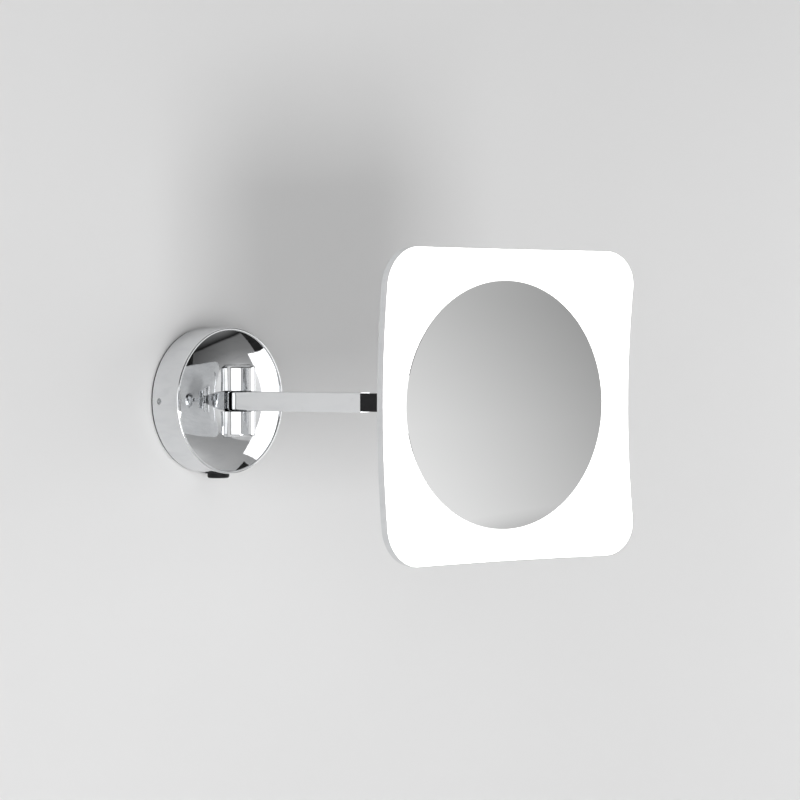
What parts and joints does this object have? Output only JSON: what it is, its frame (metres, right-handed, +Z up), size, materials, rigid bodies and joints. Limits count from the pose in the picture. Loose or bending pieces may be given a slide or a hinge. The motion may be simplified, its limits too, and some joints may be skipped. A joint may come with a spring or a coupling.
{
  "type": "extendable shaving mirror",
  "caption": "Wall shaving mirror: domed chrome base with a push switch, one swinging square arm, and a square lit head with a round mirror that swivels and tilts.",
  "frame": {"origin": "centre of the cable hole in the wall plate, on the wall face", "axes": "+X right along the wall, +Y into the wall, +Z up"},
  "size_m": [0.1982, 0.2679, 0.2],
  "materials": {
    "polished_chrome": "mirror polished plate",
    "rear_shell_chrome": "polished plate on a moulded shell",
    "zinc_steel": "zinc plated sheet",
    "bracket_steel": "satin plate",
    "screw_steel": "bright zinc plate",
    "ground_steel": "ground",
    "brass_metal": "turned",
    "bronze_bush": "sintered",
    "black_rubber": "moulded",
    "black_foam": "open cell foam",
    "black_plastic": "fine moulded",
    "button_plastic": "soft satin",
    "washer_plastic": "smooth",
    "white_plastic": "moulded",
    "reflector_white": "matt",
    "board_white": "lacquered",
    "lit_acrylic": "frosted, lit from behind",
    "mirror_glass": "silvered",
    "clear_acrylic": "clear, printed back",
    "led_lens": "lit"
  },
  "bodies": {
    "base": {"wall_plate": "zinc_steel", "wall_gasket": "black_rubber", "cable_grommet": "black_rubber", "base_cover": "polished_chrome", "side_screws": "screw_steel", "hinge_carrier": "zinc_steel", "carrier_screws": "screw_steel", "base_fork": "polished_chrome", "fork_screws": "screw_steel", "base_pin": "ground_steel", "base_pin_caps": "polished_chrome", "base_washers": "washer_plastic", "led_driver": "white_plastic", "driver_screws": "screw_steel", "terminal_block": "white_plastic", "terminal_screws": "brass_metal", "earth_stud": "brass_metal", "switch_body": "black_plastic", "switch_bezel": "black_plastic"},
    "button": {"switch_button": "button_plastic"},
    "arm": {"arm_bar": "polished_chrome", "arm_collar": "black_plastic", "arm_end": "polished_chrome", "arm_spigot": "ground_steel", "pin_bushes": "bronze_bush"},
    "head_joint": {"head_fork": "polished_chrome", "head_pin": "ground_steel", "head_pin_caps": "black_plastic", "head_washers": "washer_plastic"},
    "head": {"tilt_bracket": "bracket_steel", "bracket_screws": "screw_steel", "nut_plate": "zinc_steel", "tilt_bolt": "screw_steel", "tilt_nut": "screw_steel", "tilt_washers": "washer_plastic", "back_shell": "rear_shell_chrome", "panel_seal": "black_rubber", "front_panel": "lit_acrylic", "mirror_disc": "mirror_glass", "light_guide": "clear_acrylic", "reflector_sheet": "reflector_white", "board_tape": "black_foam", "led_board": "board_white", "foam_ring": "black_foam", "leds": "led_lens"}
  },
  "joints": [
    {"name": "arm_swing", "type": "hinge", "parent": "base", "child": "arm", "pos_m": [0, -0.032, 0], "axis": [0, 0, 1], "range_deg": [-66, 34]},
    {"name": "head_swivel", "type": "hinge", "parent": "arm", "child": "head_joint", "pos_m": [0.04755, -0.19782, 0], "axis": [0, 0, 1], "range_deg": [-50, 105]},
    {"name": "head_tilt", "type": "hinge", "parent": "head_joint", "child": "head", "pos_m": [0.04379, -0.21644, 0], "axis": [0.9803, -0.1977, 0], "range_deg": [-15, 15]},
    {"name": "switch_press", "type": "slide", "parent": "base", "child": "button", "axis": [0, 0, 1], "range_m": [0, 0.0018], "stiffness_N_per_m": 500, "springref_m": -0.001}
  ]
}
